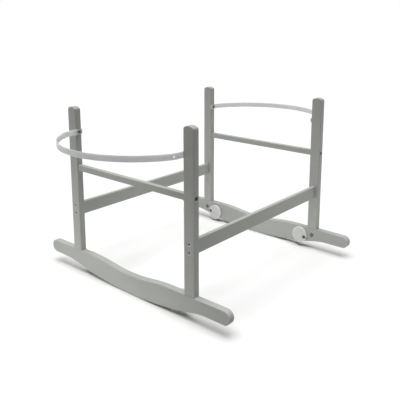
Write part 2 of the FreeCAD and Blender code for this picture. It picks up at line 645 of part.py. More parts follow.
def make_headed_screws():
    """Cross rail screws, strip screws and stopper bolts, each facing its driver."""
    cross = make_headed_screw("cross_screw", "sizes.cross_screw_shank",
                              "sizes.cross_screw_length", "sizes.cross_screw_head",
                              "sizes.cross_screw_cap")
    bore_floor = "(sizes.frame_width / 2 - sizes.cross_bore_depth)"
    make_group("cross_rail_screws", cross, [
        ((0, SIDES[s], 0), f"{ENDS[e]} * {POST_X}", f"{SIDES[s]} * {bore_floor}", CROSS_RAIL_Z)
        for e, s in CORNERS
    ])
    strip = make_headed_screw("strip_screw", "sizes.strip_screw_shank",
                              "sizes.strip_screw_length", "sizes.strip_screw_head",
                              "sizes.strip_screw_cap")
    strip_face = f"({INNER_Y} - 2 * sizes.strip_gap - sizes.strip_thick)"
    make_group("strip_screws", strip, [
        ((0, -SIDES[s], 0), f"{ENDS[e]} * {POST_X}", f"{SIDES[s]} * {strip_face}",
         STRIP_Z)
        for e, s in CORNERS
    ])
    bolt = make_headed_screw("stopper_bolt", "sizes.stopper_shank",
                             "sizes.stopper_bolt_length", "sizes.stopper_bolt_head",
                             "sizes.stopper_bolt_cap")
    washer_back = f"({INNER_X} - sizes.stopper_gap - sizes.recess_floor - sizes.washer_play)"
    ring = cut("washer",
               solid("Cylinder", "washer_disc", Radius="sizes.washer_width / 2",
                     Height="sizes.washer_thick"),
               solid("Cylinder", "washer_hole", Radius="sizes.stopper_shank / 2",
                     Height="sizes.washer_thick"))
    for label, master, x in (
        ("stopper_washers", ring, washer_back),
        ("stopper_bolts", bolt, f"({washer_back} - sizes.washer_thick)"),
    ):
        make_group(label, master, stopper_places(x))


def stopper_places(x):
    """The four stopper bolts' axes at a distance x from mid length, facing inward."""
    return [
        ((-ENDS[e], 0, 0), f"{ENDS[e]} * {x}", f"{SIDES[s]} * {STOPPER_Y}",
         "sizes.stopper_axis_height")
        for e, s in CORNERS
    ]


def make_inserts():
    tube = cut("insert",
               solid("Cylinder", "insert_tube", "-sizes.insert_length",
                     Radius="sizes.insert_width / 2", Height="sizes.insert_length"),
               solid("Cylinder", "insert_thread", "-sizes.insert_length",
                     Radius="sizes.stopper_shank / 2", Height="sizes.insert_length"))
    make_group("stopper_inserts", tube, stopper_places(INNER_X))


def make_cam_joints():
    """Under each post: a cam lock in the rocker, its pin in the post's foot, two dowels."""
    drum = solid("Cylinder", "cam_drum", "-sizes.cam_length",
                 Radius="sizes.cam_width / 2", Height="sizes.cam_length")
    wide = "(sizes.pin_width + sizes.pin_play)"
    way = slab("cam_way", "sizes.cam_width", wide,
               f"sizes.cam_length - sizes.board_thick / 2 + {wide} / 2", "-sizes.cam_length")
    slots = cross_slots("cam_slots", "sizes.cam_width * 0.7", "-sizes.driver_slot")
    lock = cut("cam", cut("cam_blank", drum, way), slots)
    make_group("cam_locks", lock, [
        ((-ENDS[e], 0, 0), f"{ENDS[e]} * {INNER_X}", f"{SIDES[s]} * {POST_Y}",
         "sizes.seat_height - sizes.cam_drop")
        for e, s in CORNERS
    ])
    pin = fuse("pin", [
        solid("Cylinder", "pin_shank", "-sizes.cam_drop",
              Radius="sizes.pin_width / 2", Height="sizes.cam_drop"),
        solid("Cylinder", "pin_screw", Radius="sizes.pin_thread / 2",
              Height="sizes.pin_thread_length"),
    ])
    dowel = solid("Cylinder", "dowel", "-sizes.dowel_depth", Radius="sizes.dowel_width / 2",
                  Height="2 * sizes.dowel_depth")
    foot = [(f"{ENDS[e]} * {POST_X}", SIDES[s]) for e, s in CORNERS]
    make_group("cam_pins", pin, [
        ((0, 0, 1), x, f"{sign} * {POST_Y}", "sizes.seat_height") for x, sign in foot
    ])
    make_group("joint_dowels", dowel, [
        ((0, 0, 1), x, f"{sign} * {POST_Y} {way} sizes.dowel_offset", "sizes.seat_height")
        for x, sign in foot for way in "+-"
    ])


# --- Build, check and write -----------------------------------------------------------

def write_parts():
    """Stops on any failed object; then writes each named piece to its own file."""
    doc.recompute()
    for item in doc.Objects:
        if {"Invalid", "Error"} & set(item.State):
            raise RuntimeError(f"{item.Label} failed: {item.State}")
    pieces = [
        item for item in doc.Objects
        if item.TypeId in ("PartDesign::Body", "Part::Compound")
    ]
    for piece in pieces:
        if piece.Shape.isNull() or not piece.Shape.isValid():
            raise RuntimeError(f"{piece.Label} has no valid shape")
    os.makedirs("parts", exist_ok=True)
    for piece in pieces:
        piece.Shape.exportStep(os.path.join("parts", f"{piece.Label}.step"))
    print(f"{len(pieces)} nodes written")


for corner in CORNERS:
    make_post(*corner)
for end_name in ENDS:
    make_rocker(end_name)
    make_strip(end_name)
for corner in CORNERS:
    make_stopper(*corner)
make_rails()
make_rail_screws()
make_headed_screws()
make_inserts()
make_cam_joints()
write_parts()
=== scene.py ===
"""A rocking bassinet stand: its finishes, its fine hardware and a plain studio round it."""

import logging
import math
from abc import ABC, abstractmethod
from dataclasses import dataclass, field
from enum import Enum
from typing import Iterable, Optional, Sequence, Union

import bmesh
import bpy
from mathutils import Matrix, Quaternion, Vector


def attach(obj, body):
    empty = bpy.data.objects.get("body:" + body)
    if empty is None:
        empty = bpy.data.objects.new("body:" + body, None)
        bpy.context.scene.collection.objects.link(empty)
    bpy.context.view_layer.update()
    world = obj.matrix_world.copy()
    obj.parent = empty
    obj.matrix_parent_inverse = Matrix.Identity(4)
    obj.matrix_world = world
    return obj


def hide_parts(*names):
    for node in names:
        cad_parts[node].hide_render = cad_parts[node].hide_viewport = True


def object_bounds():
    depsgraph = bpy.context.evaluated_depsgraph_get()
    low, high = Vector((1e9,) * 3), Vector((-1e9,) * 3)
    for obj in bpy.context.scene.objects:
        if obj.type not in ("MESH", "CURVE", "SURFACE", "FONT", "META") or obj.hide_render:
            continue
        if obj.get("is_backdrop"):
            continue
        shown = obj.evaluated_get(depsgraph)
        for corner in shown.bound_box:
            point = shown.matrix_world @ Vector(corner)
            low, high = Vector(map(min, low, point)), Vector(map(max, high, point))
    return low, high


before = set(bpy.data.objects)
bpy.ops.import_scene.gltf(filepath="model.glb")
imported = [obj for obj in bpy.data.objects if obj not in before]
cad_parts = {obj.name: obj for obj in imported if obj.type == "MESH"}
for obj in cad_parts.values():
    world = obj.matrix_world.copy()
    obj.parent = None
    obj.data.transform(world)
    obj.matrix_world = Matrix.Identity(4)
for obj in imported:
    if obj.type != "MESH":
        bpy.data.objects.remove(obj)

LOG = logging.getLogger("rocking_stand")
MM = 0.001
# names the faces of a driver's recess, which the plating colours nearly black as painted shade
RECESS = "recess"
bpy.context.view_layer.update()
WELD = 2e-6                  # points of a CAD mesh nearer than this, in metres, are one
SEAM = 1e-7                  # the same for a turned head's points
TOUCH = 1e-6                 # a point nearer than this, in metres, lies on a rim
FLAT = math.radians(0.4)     # faces nearer than this in direction are one flat

Colour = tuple[float, float, float]
Number = Union[int, float]


# --- Shader maths ---------------------------------------------------------------------


class Value:
    """One output socket, with Python's operators standing for Math nodes."""

    def __init__(self, graph: "Graph", socket: bpy.types.NodeSocket) -> None:
        """Keeps the socket and the graph it belongs to."""
        self.graph = graph
        self.socket = socket

    def _math(self, operation: str, *operands: Union["Value", Number]) -> "Value":
        """Adds one Math node.

        Args:
            operation: the Math node's operation.
            operands: its inputs in order.

        Returns:
            The node's result.
        """
        inputs = dict(enumerate(operands))
        return self.graph.node("ShaderNodeMath", {"operation": operation}, inputs)

    def __add__(self, other: Union["Value", Number]) -> "Value":
        """self + other."""
        return self._math("ADD", self, other)

    def __radd__(self, other: Number) -> "Value":
        """other + self."""
        return self._math("ADD", other, self)

    def __sub__(self, other: Union["Value", Number]) -> "Value":
        """self - other."""
        return self._math("SUBTRACT", self, other)

    def __rsub__(self, other: Number) -> "Value":
        """other - self."""
        return self._math("SUBTRACT", other, self)

    def __mul__(self, other: Union["Value", Number]) -> "Value":
        """self * other."""
        return self._math("MULTIPLY", self, other)

    def __rmul__(self, other: Number) -> "Value":
        """other * self."""
        return self._math("MULTIPLY", other, self)

    def __abs__(self) -> "Value":
        """The size of self without its sign."""
        return self._math("ABSOLUTE", self)

    def between(self, low: float, high: float) -> "Value":
        """A smooth step.

        Args:
            low: where the step starts.
            high: where it ends.

        Returns:
            0 below low, 1 above high and a smooth rise between.
        """
        settings = {"interpolation_type": "SMOOTHSTEP"}
        inputs = {"Value": self, "From Min": low, "From Max": high}
        return self.graph.node("ShaderNodeMapRange", settings, inputs)

    def spread(self, low: float, high: float) -> "Value":
        """Carries 0 to 1 onto low to high."""
        return self * (high - low) + low


class Graph:
    """A material's node tree, with one method for any node."""

    def __init__(self, material: bpy.types.Material) -> None:
        """Clears the material's tree and gives it a Principled shader."""
        material.use_nodes = True
        self.tree = material.node_tree
        self.tree.nodes.clear()
        self.shader = self.tree.nodes.new("ShaderNodeBsdfPrincipled")
        output = self.tree.nodes.new("ShaderNodeOutputMaterial")
        self.tree.links.new(self.shader.outputs["BSDF"], output.inputs["Surface"])
        self.place = self.node("ShaderNodeTexCoord", output="Object")

    def node(
        self,
        kind: str,
        settings: Optional[dict] = None,
        inputs: Optional[dict] = None,
        output: Union[int, str] = 0,
    ) -> Value:
        """Adds a node.

        Args:
            kind: its Blender type.
            settings: its own properties, set first.
            inputs: values or links by socket name or number.
            output: the output that is wanted.

        Returns:
            That output.
        """
        made = self.tree.nodes.new(kind)
        for key, value in (settings or {}).items():
            setattr(made, key, value)
        for key, value in (inputs or {}).items():
            self.feed(made.inputs[key], value)
        return Value(self, made.outputs[output])

    def feed(self, socket: bpy.types.NodeSocket, value: object) -> None:
        """Links a Value to a socket, or sets the socket's own number or colour."""
        if isinstance(value, Value):
            self.tree.links.new(value.socket, socket)
        else:
            socket.default_value = value

    def finish(self, **sockets: object) -> None:
        """Feeds the Principled shader; underscores stand for the spaces in its sockets."""
        for name, value in sockets.items():
            title = name.replace("_", " ").title().replace("Ior", "IOR")
            self.feed(self.shader.inputs[title], value)

    def stretched(self, scale: Sequence[float]) -> Value:
        """The piece's own coordinates in metres, multiplied axis by axis."""
        return self.node("ShaderNodeMapping", {}, {"Vector": self.place, "Scale": scale})

    def noise(self, scale: Sequence[float], detail: float = 3.0, rough: float = 0.5) -> Value:
        """Noise of about 0 to 1.

        Args:
            scale: features per metre along X, Y and Z.
            detail: octaves.
            rough: how much the fine octaves count.

        Returns:
            The noise's factor.
        """
        place = self.stretched(scale)
        inputs = {"Vector": place, "Scale": 1.0, "Detail": detail, "Roughness": rough}
        return self.node("ShaderNodeTexNoise", {"noise_dimensions": "3D"}, inputs)

    def mix(self, factor: Union[Value, float], first: object, second: object) -> Value:
        """A colour between two colours.

        Args:
            factor: 0 for the first, 1 for the second.
            first: a colour or a link.
            second: a colour or a link.

        Returns:
            The mixed colour.
        """
        settings = {"data_type": "RGBA"}
        inputs = {0: factor, 6: first, 7: second}
        return self.node("ShaderNodeMix", settings, inputs, output=2)

    def bump(self, height: Value, strength: float, depth: float) -> Value:
        """A normal bent by a height.

        Args:
            height: the height, about 0 to 1.
            strength: how much of it shows.
            depth: metres from its low to its high.

        Returns:
            The bent normal.
        """
        inputs = {"Height": height, "Strength": strength, "Distance": depth}
        return self.node("ShaderNodeBump", {}, inputs, output="Normal")

    def facing(self, axis: "Axis") -> Value:
        """How squarely a face looks along an axis, either way: 0 to 1."""
        normal = self.node("ShaderNodeNewGeometry", output="Normal")
        inputs = {0: normal, 1: tuple(axis.direction)}
        dot = self.node("ShaderNodeVectorMath", {"operation": "DOT_PRODUCT"}, inputs, "Value")
        return abs(dot)


class Axis(Enum):
    """The way that grain, a flow mark or a fastener runs."""

    X = 0
    Y = 1
    Z = 2

    @property
    def direction(self) -> Vector:
        """The unit vector along the axis."""
        return Vector([1.0 if i == self.value else 0.0 for i in range(3)])

    def scale(self, along: float, across: float) -> tuple[float, float, float]:
        """Feature counts per metre, with one number along the axis and another across it."""
        return tuple(along if i == self.value else across for i in range(3))


def even(count: float) -> tuple[float, float, float]:
    """The same feature count per metre along every axis."""
    return count, count, count


def shade(colour: Colour, factor: float) -> tuple[float, float, float, float]:
    """A colour made lighter or darker, with alpha."""
    return tuple(min(1.0, c * factor) for c in colour) + (1.0,)


# --- Finishes -------------------------------------------------------------------------


@dataclass(frozen=True)
class Finish(ABC):
    """What a surface is made of; one material is built for each name."""

    name: str
    slot: str

    def material(self) -> bpy.types.Material:
        """The finish's material, built when it is first asked for."""
        made = bpy.data.materials.get(self.name)
        if made is None:
            made = bpy.data.materials.new(self.name)
            self.dress(Graph(made))
        return made

    @abstractmethod
    def dress(self, graph: Graph) -> None:
        """Builds the finish's nodes."""


@dataclass(frozen=True)
class PaintedBoard(Finish):
    """Satin paint over a planed board, with the grain just showing through it.

    The coat's tone wanders between darker and paler, as shares of the paint, and soaked is
    the share of each of its colours that is left on end grain. relief is in metres.
    """

    grain: Axis
    paint: Colour = (0.505, 0.515, 0.487)
    paler: float = 1.045
    darker: float = 0.945
    soaked: Colour = (0.93, 0.93, 0.94)
    relief: float = 0.00035
    relief_shown: float = 0.22

    def dress(self, graph: Graph) -> None:
        """Long grain on the sides, rings on the end grain, and a soft unevenness of coat."""
        coat = graph.noise(self.grain.scale(7.0, 16.0), detail=2.0)
        grain = graph.noise(self.grain.scale(9.0, 620.0), detail=4.0, rough=0.62)
        pores = graph.noise(self.grain.scale(60.0, 2400.0), detail=2.0, rough=0.7)
        rings = graph.noise(self.grain.scale(1.0, 260.0), detail=5.0, rough=0.6)
        end = graph.facing(self.grain).between(0.75, 0.97)
        side_height = grain * 0.75 + pores * 0.25
        height = side_height * (1.0 - end) + rings * end
        stipple = graph.noise(even(1500.0), detail=2.0)
        tone = coat * 0.55 + grain * 0.35 + pores * 0.10
        light, dark = shade(self.paint, self.paler), shade(self.paint, self.darker)
        body = graph.mix(tone.between(0.30, 0.72), dark, light)
        thirsty = shade(tuple(p * s for p, s in zip(self.paint, self.soaked)), 1.0)
        colour = graph.mix(end * (0.35 + rings * 0.4), body, thirsty)
        gloss = coat.spread(0.36, 0.50) + end * 0.10 + (grain - 0.5) * 0.08
        skin = height + stipple * 0.35
        graph.finish(base_color=colour, roughness=gloss, specular_ior_level=0.45)
        graph.finish(normal=graph.bump(skin, self.relief_shown, self.relief))


@dataclass(frozen=True)
class MouldedPlastic(Finish):
    """Milky moulded plastic with faint flow marks and an orange-peel skin.

    milky is the share of light that sinks in, and depth is how far it goes, in metres.
    """

    flow: Axis
    body: Colour
    milky: float
    depth: float = 0.004
    relief: float = 0.0002
    relief_shown: float = 0.10

    def dress(self, graph: Graph) -> None:
        """A slightly uneven milky body under a satin skin."""
        clouds = graph.noise(even(38.0), detail=3.0)
        flow = graph.noise(self.flow.scale(22.0, 320.0), detail=3.0, rough=0.6)
        peel = graph.noise(even(1900.0), detail=1.0)
        scuffs = graph.noise(self.flow.scale(120.0, 900.0), detail=4.0, rough=0.75)
        tone = clouds * 0.6 + flow * 0.4
        dark, light = shade(self.body, 0.955), shade(self.body, 1.03)
        colour = graph.mix(tone.between(0.3, 0.7), dark, light)
        gloss = clouds.spread(0.30, 0.42) + scuffs.between(0.62, 0.80) * 0.12
        graph.finish(base_color=colour, roughness=gloss, ior=1.49)
        graph.finish(subsurface_weight=self.milky, subsurface_scale=self.depth)
        graph.finish(subsurface_radius=(1.0, 1.0, 1.0))
        graph.finish(normal=graph.bump(peel * 0.7 + flow * 0.3, self.relief_shown, self.relief))


@dataclass(frozen=True)
class PlatedSteel(Finish):
    """Turned steel under a thin plating: bright zinc or a dark oxide.

    dull is the least roughness, and wear is how much of the worn metal shows.
    """

    metal: Colour = (0.70, 0.71, 0.73)
    dull: float = 0.26
    worn: Colour = (0.80, 0.80, 0.80)
    wear: float = 0.15

    def dress(self, graph: Graph) -> None:
        """Clouded plating, fine turning marks and rubbed high spots, with painted shade that makes
        the driver's recess nearly black.
        """
        clouds = graph.noise(even(420.0), detail=4.0, rough=0.65)
        marks = graph.noise(even(5200.0), detail=2.0)
        rubbed = clouds.between(0.58, 0.74) * self.wear
        # where the driver's recess is: its faces get painted shade
        recess_painted_shade = graph.node("ShaderNodeAttribute", {"attribute_name": RECESS}, output="Fac")
        plating = graph.mix(clouds, shade(self.metal, 0.86), shade(self.metal, 1.06))
        outside = graph.mix(rubbed, plating, shade(self.worn, 1.0))
        # painted shade: the recess is coloured nearly black in place of the shadow inside it
        colour = graph.mix(recess_painted_shade, outside, shade(self.metal, 0.05))
        gloss = clouds.spread(self.dull, self.dull + 0.22) - rubbed * 0.15 + recess_painted_shade * 0.3
        graph.finish(base_color=colour, metallic=1.0, roughness=gloss)
        graph.finish(normal=graph.bump(marks, 0.08, 0.00005))


@dataclass(frozen=True)
class CastMetal(Finish):
    """Die-cast zinc, grey and finely grained."""

    metal: Colour = (0.27, 0.275, 0.28)

    def dress(self, graph: Graph) -> None:
        """A sandy skin with duller patches."""
        sand = graph.noise(even(3000.0), detail=3.0, rough=0.7)
        clouds = graph.noise(even(300.0), detail=3.0)
        colour = graph.mix(clouds, shade(self.metal, 0.8), shade(self.metal, 1.15))
        gloss = clouds.spread(0.38, 0.6)
        graph.finish(base_color=colour, metallic=1.0, roughness=gloss)
        graph.finish(normal=graph.bump(sand, 0.25, 0.0001))


@dataclass(frozen=True)
class BareBeech(Finish):
    """Unpainted beech, with the short flecks that beech has."""

    grain: Axis = Axis.Z
    wood: Colour = (0.52, 0.34, 0.19)

    def dress(self, graph: Graph) -> None:
        """Flecks and streaks along the grain."""
        streaks = graph.noise(self.grain.scale(30.0, 700.0), detail=4.0, rough=0.6)
        flecks = graph.noise(self.grain.scale(350.0, 2200.0), detail=2.0)
        wood = graph.mix(streaks, shade(self.wood, 0.85), shade(self.wood, 1.12))
        colour = graph.mix(flecks.between(0.6, 0.75) * 0.5, wood, shade(self.wood, 0.62))
        graph.finish(base_color=colour, roughness=streaks.spread(0.5, 0.68))
        graph.finish(normal=graph.bump(streaks + flecks * 0.5, 0.3, 0.0002))


@dataclass(frozen=True)
class StudioFloor(Finish):
    """A pale, matt, even floor.

    It looks bright, but the light it throws back on the stand fades from light_from to
    dark_from, in metres along heading, down to least of its full strength.
    """

    tint: Colour = (0.93, 0.93, 0.925)
    returned: Colour = (0.80, 0.81, 0.795)
    heading: float = 40.7
    dark_from: float = -1.15
    light_from: float = 0.15
    least: float = 0.12

    def dress(self, graph: Graph) -> None:
        """Very faintly uneven to look at, with the fade in what it throws back."""
        clouds = graph.noise(even(1.2), detail=3.0)
        seen = graph.mix(clouds, shade(self.tint, 0.99), shade(self.tint, 1.01))
        turn = math.radians(self.heading)
        across = {0: graph.place, 1: (math.cos(turn), math.sin(turn), 0.0)}
        away = graph.node("ShaderNodeVectorMath", {"operation": "DOT_PRODUCT"}, across, "Value")
        lit = away.between(self.dark_from, self.light_from).spread(self.least, 1.0)
        cast = graph.mix(lit, (0.0, 0.0, 0.0, 1.0), shade(self.returned, 1.0))
        looked_at = graph.node("ShaderNodeLightPath", output="Is Camera Ray")
        graph.finish(base_color=graph.mix(looked_at, cast, seen), roughness=0.9)
        graph.finish(specular_ior_level=0.0)


BOARDS = {
    axis: PaintedBoard(f"grey_paint_grain_{axis.name.lower()}", "painted_wood", grain=axis)
    for axis in Axis
}
STRIP_PLASTIC = MouldedPlastic("strip_plastic", "white_plastic", flow=Axis.Y,
                               body=(0.92, 0.925, 0.925), milky=1.0, depth=0.012)
DISC_PLASTIC = MouldedPlastic("disc_plastic", "white_plastic", flow=Axis.Z,
                              body=(0.80, 0.80, 0.79), milky=0.25)
BRIGHT_ZINC = PlatedSteel("bright_zinc_plate", "bright_zinc")
DARK_OXIDE = PlatedSteel("dark_oxide", "dark_steel", metal=(0.21, 0.21, 0.215), dull=0.30,
                         worn=(0.40, 0.40, 0.41), wear=0.3)
CAST_ZINC = CastMetal("die_cast_zinc", "cast_zinc")
BEECH = BareBeech("bare_beech", "bare_beech")


# --- Mesh helpers ---------------------------------------------------------------------


def publish(mesh: bmesh.types.BMesh, name: str, body: str, finish: Finish,
            nodes: Iterable[str] = (), crease: float = 35.0) -> bpy.types.Object:
    """Makes a finished piece of a bmesh.

    Args:
        mesh: the shape in its place, in metres; it is freed.
        name: the piece's name.
        body: the body it rides on.
        finish: what it is made of.
        nodes: the nodes it stands for.
        crease: edges sharper than this many degrees stay sharp.

    Returns:
        The piece.
    """
    data = bpy.data.meshes.new(name)
    bmesh.ops.recalc_face_normals(mesh, faces=mesh.faces)
    for face in mesh.faces:
        face.smooth = True
    mesh.to_mesh(data)
    mesh.free()
    data.set_sharp_from_angle(angle=math.radians(crease))
    data.materials.append(finish.material())
    piece = bpy.data.objects.new(name, data)
    bpy.context.scene.collection.objects.link(piece)
    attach(piece, body)
    if nodes:
        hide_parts(*nodes)
    LOG.info("%s: %d faces on %s", name, len(data.polygons), body)
    return piece


def dress_node(node: str, finish: Finish) -> None:
    """Gives a CAD node's slots a finish and leaves its shape alone."""
    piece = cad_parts[node]
    for place in piece.material_slots:
        place.material = finish.material()
    LOG.info("%s: dressed in %s", node, finish.name)


def welded(node: str) -> bmesh.types.BMesh:
    """A copy of a CAD node's mesh, its triangles joined and its flats made whole."""
    mesh = bmesh.new()
    mesh.from_mesh(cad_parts[node].data)
    bmesh.ops.remove_doubles(mesh, verts=mesh.verts, dist=WELD)
    bmesh.ops.dissolve_limit(mesh, angle_limit=FLAT, verts=mesh.verts, edges=mesh.edges)
    return mesh


def soften(mesh: bmesh.types.BMesh, width: float, sharp: float = 50.0, segments: int = 2) -> None:
    """Rounds a shape's sharp edges.

    Args:
        mesh: the shape.
        width: the round's size in metres.
        sharp: the least angle, in degrees, of an edge that is rounded.
        segments: how many facets make the round.
    """
    edges = [e for e in mesh.edges if len(e.link_faces) == 2
             and e.calc_face_angle(0.0) > math.radians(sharp)]
    bmesh.ops.bevel(mesh, geom=edges, affect="EDGES", offset=width, offset_type="OFFSET",
                    segments=segments, profile=0.5, material=-1, clamp_overlap=True)


@dataclass(frozen=True)
class Spot:
    """Where one solid of a group lies: the corners of its box."""

    low: Vector
    high: Vector

    @property
    def middle(self) -> Vector:
        """The middle of the box."""
        return (self.low + self.high) / 2


def spots(node: str) -> list[Spot]:
    """The boxes of a node's separate solids.

    Args:
        node: a CAD node that holds a group.

    Returns:
        One Spot for each solid.
    """
    mesh = bmesh.new()
    mesh.from_mesh(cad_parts[node].data)
    bmesh.ops.remove_doubles(mesh, verts=mesh.verts, dist=WELD)
    unseen = set(mesh.verts)
    found = []
    while unseen:
        island, front = set(), [unseen.pop()]
        while front:
            vertex = front.pop()
            island.add(vertex)
            near = {e.other_vert(vertex) for e in vertex.link_edges} & unseen
            unseen -= near
            front.extend(near)
        places = [v.co.copy() for v in island]
        low, high = (Vector([pick(p[i] for p in places) for i in range(3)]) for pick in (min, max))
        found.append(Spot(low, high))
    mesh.free()
    return sorted(found, key=lambda s: tuple(round(c, 5) for c in s.middle))


# --- Hardware -------------------------------------------------------------------------


CROSS_SLOT = 0.26     # half a cross slot's width, as a share of its arm


class Drive(Enum):
    """The recess that a driver turns a head by."""

    HEXAGON = "hexagon"
    CROSS = "cross"

    def reach(self, angle: float, size: float) -> float:
        """How far the recess reaches in one direction.

        Args:
            angle: the direction, in radians.
            size: half a hexagon's width across flats, or a cross's arm length.

        Returns:
            The distance from the head's axis.
        """
        if self is Drive.HEXAGON:
            turn = (angle + math.pi / 6) % (math.pi / 3) - math.pi / 6
            return size / math.cos(turn)
        turn = (angle + math.pi / 4) % (math.pi / 2) - math.pi / 4
        slot = size * CROSS_SLOT
        return min(size / math.cos(turn), slot / max(abs(math.sin(turn)), 1e-6))


@dataclass(frozen=True)
class TurnedHead:
    """A fastener's head, turned on a lathe, with a recess for its driver.

    profile runs from the shank out and up to the recess's edge: (radius, height), in
    millimetres above the seat. recess is half a hexagon's width across flats, or a cross's
    arm length, and recess_taper is the size of the recess's floor as a share of its mouth.
    """

    profile: Sequence[tuple[float, float]]
    drive: Drive
    recess: float
    recess_depth: float
    recess_taper: float = 0.88
    steps: int = 48

    @property
    def cap(self) -> float:
        """How far the head stands above its seat; a countersunk one doesn't."""
        return max(0.0, self.profile[-1][1])

    def add_to(self, mesh: bmesh.types.BMesh, seat: Vector, way: Vector) -> None:
        """Turns one head.

        Args:
            mesh: the mesh it is added to.
            seat: the middle of its seat.
            way: the direction it faces.
        """
        own = bmesh.new()
        own.faces.layers.float.new(RECESS)
        corners = [own.verts.new((r * MM, 0.0, z * MM)) for r, z in self.profile]
        line = [own.edges.new(pair) for pair in zip(corners, corners[1:])]
        bmesh.ops.spin(own, geom=corners + line, cent=(0, 0, 0), axis=(0, 0, 1),
                       angle=math.tau, steps=self.steps, use_merge=True)
        bmesh.ops.remove_doubles(own, verts=own.verts, dist=SEAM)
        self._sink_recess(own)
        base = [e for e in own.edges if e.is_boundary]
        bmesh.ops.holes_fill(own, edges=base, sides=0)
        turn = Vector((0, 0, 1)).rotation_difference(way).to_matrix().to_4x4()
        bmesh.ops.transform(own, matrix=Matrix.Translation(seat) @ turn, verts=own.verts)
        part = bpy.data.meshes.new("head")
        own.to_mesh(part)
        own.free()
        mesh.from_mesh(part)
        bpy.data.meshes.remove(part)

    def _sink_recess(self, own: bmesh.types.BMesh) -> None:
        """Draws the inner rim out to the drive's outline and sinks it."""
        inner, top = self.profile[-1]
        rim = [e for e in own.edges if e.is_boundary and all(
            abs(v.co.xy.length - inner * MM) < TOUCH and abs(v.co.z - top * MM) < TOUCH
            for v in e.verts)]
        for vertex in {v for e in rim for v in e.verts}:
            angle = math.atan2(vertex.co.y, vertex.co.x)
            vertex.co.xy = vertex.co.xy.normalized() * self.drive.reach(angle, self.recess) * MM
        sunk = bmesh.ops.extrude_edge_only(own, edges=rim)["geom"]
        lower = [g for g in sunk if isinstance(g, bmesh.types.BMVert)]
        bmesh.ops.translate(own, vec=(0, 0, -self.recess_depth * MM), verts=lower)
        taper = (self.recess_taper, self.recess_taper, 1.0)
        bmesh.ops.scale(own, vec=taper, verts=lower)
        floor = [g for g in sunk if isinstance(g, bmesh.types.BMEdge)
                 and all(v in lower for v in g.verts)]
        base = bmesh.ops.edgeloop_fill(own, edges=floor)["faces"]
        # marks the recess's faces, where the plating paints shade nearly black
        recess_painted_shade = own.faces.layers.float[RECESS]
        for face in [g for g in sunk if isinstance(g, bmesh.types.BMFace)] + base:
            face[recess_painted_shade] = 1.0


@dataclass(frozen=True)
class HeadGroup:
    """All the fasteners of one kind: a fine head on each, and its plain shank behind it.

    radius and length are the shank's, in millimetres, length from the seat to the tip, and
    chamfer is the tip's chamfer as a share of the radius. The fasteners lie along axis, and
    outward says whether their heads look away from the stand's middle.
    """

    node: str
    piece: str
    head: TurnedHead
    radius: float
    length: float
    finish: Finish
    axis: Axis
    outward: bool
    sides: int = 24
    chamfer: float = 0.3

    def build(self) -> bpy.types.Object:
        """Builds the group as one piece.

        Returns:
            The piece, which stands for the group's CAD node.
        """
        mesh = bmesh.new()
        mesh.faces.layers.float.new(RECESS)
        for spot in spots(self.node):
            seat, way = self._seat(spot)
            self.head.add_to(mesh, seat, way)
            self._add_shank(mesh, seat, way)
        return publish(mesh, self.piece, "frame", self.finish, [self.node])

    def _seat(self, spot: Spot) -> tuple[Vector, Vector]:
        """Finds a head's seat, one head's height under the fastener's end.

        Args:
            spot: the fastener's box.

        Returns:
            The middle of the seat and the way the head faces.
        """
        side = math.copysign(1.0, spot.middle[self.axis.value])
        way = self.axis.direction * (side if self.outward else -side)
        reach = (spot.high - spot.low) / 2
        end = spot.middle + Vector([way[i] * reach[i] for i in range(3)])
        return end - way * self.head.cap * MM, way

    def _add_shank(self, mesh: bmesh.types.BMesh, seat: Vector, way: Vector) -> None:
        """Adds a shank with a chamfered tip, from the foot of the head to its full length.

        Args:
            mesh: the mesh it is added to.
            seat: the middle of the head's seat.
            way: the direction the head faces.
        """
        radius, length = self.radius * MM, self.length * MM
        turn = Vector((0, 0, -1)).rotation_difference(way).to_matrix().to_4x4()
        foot = -self.head.profile[0][1] * MM
        halfway = (foot + length) / 2
        place = Matrix.Translation(seat - way * halfway)
        made = bmesh.ops.create_cone(mesh, cap_ends=True, cap_tris=False, segments=self.sides,
                                     radius1=radius, radius2=radius, depth=length - foot,
                                     matrix=place @ turn)
        tip = [v for v in made["verts"] if (seat - v.co).dot(way) > halfway]
        rim = [e for e in {e for v in tip for e in v.link_edges} if all(v in tip for v in e.verts)]
        bmesh.ops.bevel(mesh, geom=rim, affect="EDGES", offset=radius * self.chamfer,
                        offset_type="OFFSET", segments=1, profile=0.5, material=-1,
                        clamp_overlap=True)


# --- The stand ------------------------------------------------------------------------


@dataclass
class Woodwork:
    """The painted boards: two end frames and the rails between them."""

    boards: dict[Axis, tuple[str, ...]] = field(default_factory=lambda: {
        Axis.Z: ("post_left_front", "post_left_rear", "post_right_front", "post_right_rear"),
        Axis.Y: ("rocker_left", "rocker_right", "cross_rail_left", "cross_rail_right"),
        Axis.X: ("side_rail_front", "side_rail_rear"),
    })

    def build(self) -> None:
        """Paints every board with its grain along its length."""
        for axis, nodes in self.boards.items():
            for node in nodes:
                dress_node(node, BOARDS[axis])


@dataclass
class RetainingStrip:
    """One bowed strip, with its extruded edges rounded. edge is in millimetres."""

    end: str
    edge: float = 0.85
    facets: int = 4

    def build(self) -> bpy.types.Object:
        """Builds the strip.

        Returns:
            The piece.
        """
        node = f"retaining_strip_{self.end}"
        mesh = welded(node)
        soften(mesh, self.edge * MM, segments=self.facets)
        return publish(mesh, f"bowed_strip_{self.end}", node, STRIP_PLASTIC, [node])


@dataclass
class Stopper:
    """One eccentric disc, its rims moulded round. edge is in millimetres."""

    end: str
    side: str
    edge: float = 0.35

    def build(self) -> bpy.types.Object:
        """Builds the disc.

        Returns:
            The piece.
        """
        node = f"stopper_{self.end}_{self.side}"
        mesh = welded(node)
        soften(mesh, self.edge * MM)
        return publish(mesh, f"disc_{self.end}_{self.side}", node, DISC_PLASTIC, [node])


